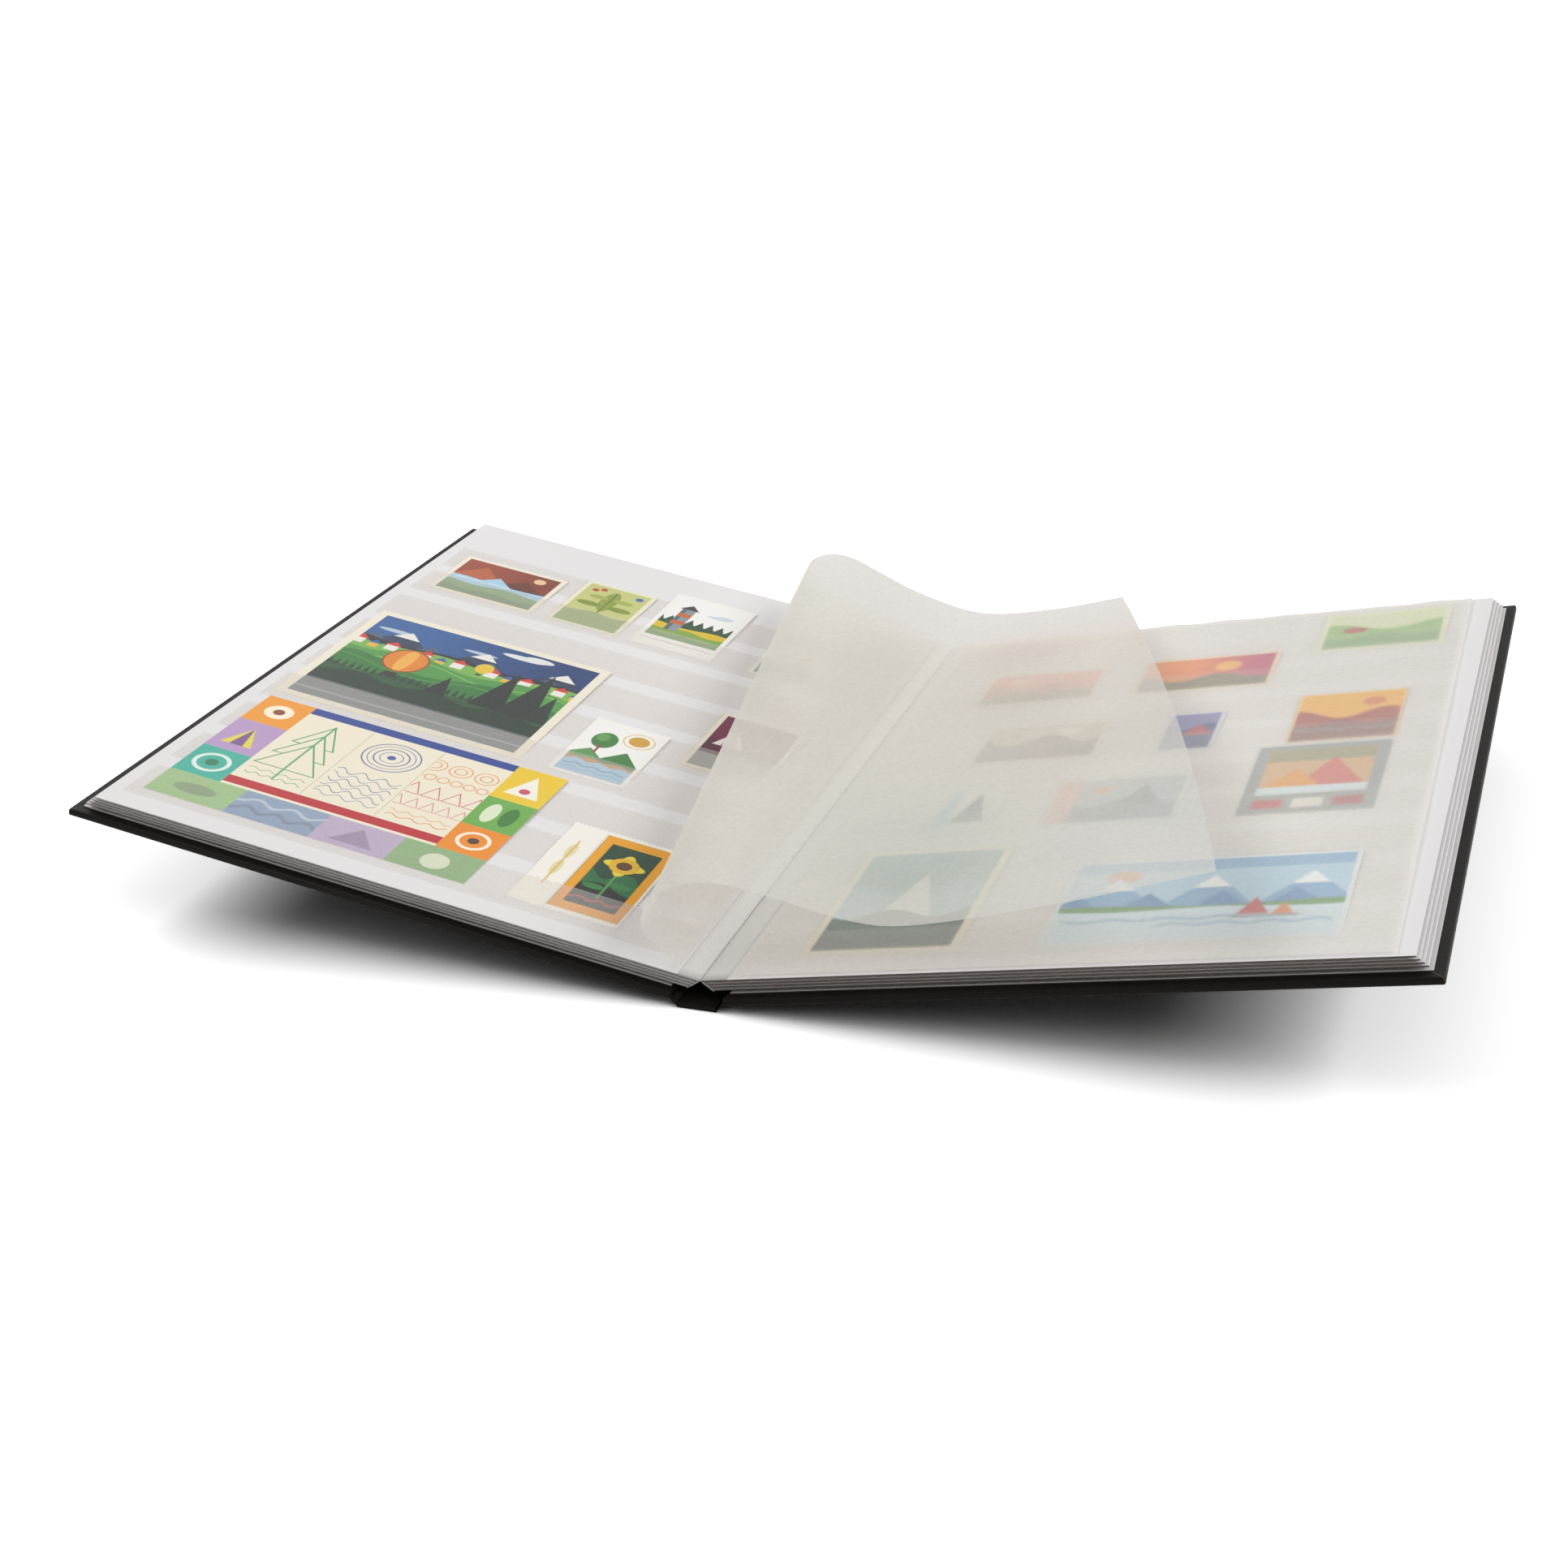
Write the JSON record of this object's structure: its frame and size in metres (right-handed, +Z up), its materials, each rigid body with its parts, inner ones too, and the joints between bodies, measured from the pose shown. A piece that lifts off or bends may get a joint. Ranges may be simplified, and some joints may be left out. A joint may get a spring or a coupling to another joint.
{
  "type": "stamp album",
  "caption": "Open hardcover stamp album with white card leaves, glassine pocket strips, interleaves and stamps; covers close, top leaves lift and stamps slide up.",
  "frame": {"origin": "middle of the spine's underside, on the ground", "axes": "+X across the open album towards the back cover, +Y from tail to head of the pages, +Z up"},
  "size_m": [0.4454, 0.305, 0.065],
  "materials": {
    "leatherette": "satin",
    "greyboard": "matte",
    "lining_paper": "matte",
    "linen": "matte",
    "glassine_strip": "satin",
    "glassine": "satin",
    "white_card": "matte",
    "printed_stamp_brown": "satin",
    "printed_stamp_green": "satin",
    "printed_stamp_tall": "satin",
    "printed_stamp_under_fold": "satin",
    "printed_sheet_landscape": "satin",
    "printed_stamp_medallion": "satin",
    "printed_stamp_maroon": "satin",
    "printed_sheet_panels": "satin",
    "printed_stamp_with_tab": "satin",
    "printed_right_page_stamps": "satin"
  },
  "bodies": {
    "spine": {"spine_covering": "leatherette", "spine_board": "greyboard", "spine_lining": "lining_paper", "front_joint_cloth": "leatherette", "back_joint_cloth": "leatherette"},
    "front_cover": {"front_board": "greyboard", "front_covering": "leatherette", "front_pasted_leaf": "white_card", "front_pasted_pockets": "glassine_strip"},
    "back_cover": {"back_board": "greyboard", "back_covering": "leatherette", "back_pasted_leaf": "white_card", "back_pasted_pockets": "glassine_strip"},
    "left_block": {"left_back_linen": "linen", "left_leaf_1": "white_card", "left_leaf_2": "white_card", "left_leaf_3": "white_card", "left_pockets_1": "glassine_strip", "left_pockets_2": "glassine_strip", "left_pockets_3": "glassine_strip", "left_interleaf_1": "glassine", "left_interleaf_2": "glassine", "left_interleaf_3": "glassine"},
    "left_top_leaf": {"left_leaf_4": "white_card", "left_pockets_4": "glassine_strip", "left_gutter_linen": "linen"},
    "right_block": {"right_back_linen": "linen", "right_leaf_1": "white_card", "right_leaf_2": "white_card", "right_leaf_3": "white_card", "right_pockets_1": "glassine_strip", "right_pockets_2": "glassine_strip", "right_pockets_3": "glassine_strip", "right_interleaf_1": "glassine", "right_interleaf_2": "glassine", "right_interleaf_3": "glassine"},
    "right_top_leaf": {"right_leaf_4": "white_card", "right_pockets_4": "glassine_strip", "right_gutter_linen": "linen", "right_page_stamps": "printed_right_page_stamps", "right_open_interleaf": "glassine"},
    "turning_interleaf": {"turning_interleaf": "glassine"},
    "stamp_brown": {"stamp_brown": "printed_stamp_brown"},
    "stamp_green": {"stamp_green": "printed_stamp_green"},
    "stamp_tall": {"stamp_tall": "printed_stamp_tall"},
    "stamp_under_fold": {"stamp_under_fold": "printed_stamp_under_fold"},
    "sheet_landscape": {"sheet_landscape": "printed_sheet_landscape"},
    "stamp_medallion": {"stamp_medallion": "printed_stamp_medallion"},
    "stamp_maroon": {"stamp_maroon": "printed_stamp_maroon"},
    "sheet_panels": {"sheet_panels": "printed_sheet_panels"},
    "stamp_with_tab": {"stamp_with_tab": "printed_stamp_with_tab"}
  },
  "joints": [
    {"name": "front_cover_hinge", "type": "hinge", "parent": "spine", "child": "front_cover", "pos_m": [-0.00803, 0, 0.0022], "axis": [0, -1, 0], "range_deg": [-79.7, 4], "deforming": ["front_joint_cloth", "turning_interleaf"]},
    {"name": "back_cover_hinge", "type": "hinge", "parent": "spine", "child": "back_cover", "pos_m": [0.00803, 0, 0.0022], "axis": [0, 1, 0], "range_deg": [-79.7, 4], "deforming": ["back_joint_cloth"]},
    {"name": "left_block_hinge", "type": "hinge", "parent": "spine", "child": "left_block", "pos_m": [0, 0, 0.0089], "axis": [0, -1, 0], "range_deg": [-79.7, 4]},
    {"name": "right_block_hinge", "type": "hinge", "parent": "spine", "child": "right_block", "pos_m": [0, 0, 0.0089], "axis": [0, 1, 0], "range_deg": [-79.7, 4]},
    {"name": "left_top_leaf_lift", "type": "hinge", "parent": "left_block", "child": "left_top_leaf", "pos_m": [0, 0, 0.0089], "axis": [0, 1, 0], "range_deg": [0, 6]},
    {"name": "right_top_leaf_lift", "type": "hinge", "parent": "right_block", "child": "right_top_leaf", "pos_m": [0, 0, 0.0089], "axis": [0, -1, 0], "range_deg": [0, 14]},
    {"name": "turning_interleaf_swing", "type": "hinge", "parent": "spine", "child": "turning_interleaf", "pos_m": [0, 0, 0.0089], "axis": [0, -1, 0], "range_deg": [0, 6.02]},
    {"name": "stamp_brown_slide", "type": "slide", "parent": "left_top_leaf", "child": "stamp_brown", "axis": [0.0015, 1, 0.0084], "range_m": [0, 0.014]},
    {"name": "stamp_green_slide", "type": "slide", "parent": "left_top_leaf", "child": "stamp_green", "axis": [0.0015, 1, 0.0084], "range_m": [0, 0.014]},
    {"name": "stamp_tall_slide", "type": "slide", "parent": "left_top_leaf", "child": "stamp_tall", "axis": [0.0015, 1, 0.0084], "range_m": [0, 0.014]},
    {"name": "stamp_under_fold_slide", "type": "slide", "parent": "left_top_leaf", "child": "stamp_under_fold", "axis": [0.0015, 1, 0.0084], "range_m": [0, 0.014]},
    {"name": "sheet_landscape_slide", "type": "slide", "parent": "left_top_leaf", "child": "sheet_landscape", "axis": [0.0015, 1, 0.0084], "range_m": [0, 0.014]},
    {"name": "stamp_medallion_slide", "type": "slide", "parent": "left_top_leaf", "child": "stamp_medallion", "axis": [0.0015, 1, 0.0084], "range_m": [0, 0.014]},
    {"name": "stamp_maroon_slide", "type": "slide", "parent": "left_top_leaf", "child": "stamp_maroon", "axis": [0.0015, 1, 0.0084], "range_m": [0, 0.014]},
    {"name": "sheet_panels_slide", "type": "slide", "parent": "left_top_leaf", "child": "sheet_panels", "axis": [0.0015, 1, 0.0084], "range_m": [0, 0.014]},
    {"name": "stamp_with_tab_slide", "type": "slide", "parent": "left_top_leaf", "child": "stamp_with_tab", "axis": [0.0015, 1, 0.0084], "range_m": [0, 0.014]}
  ],
  "couplings": [
    {"joint": "left_block_hinge", "follows": "front_cover_hinge", "ratio": 1},
    {"joint": "right_block_hinge", "follows": "back_cover_hinge", "ratio": 1},
    {"joint": "turning_interleaf_swing", "follows": "right_top_leaf_lift", "ratio": 0.43}
  ]
}
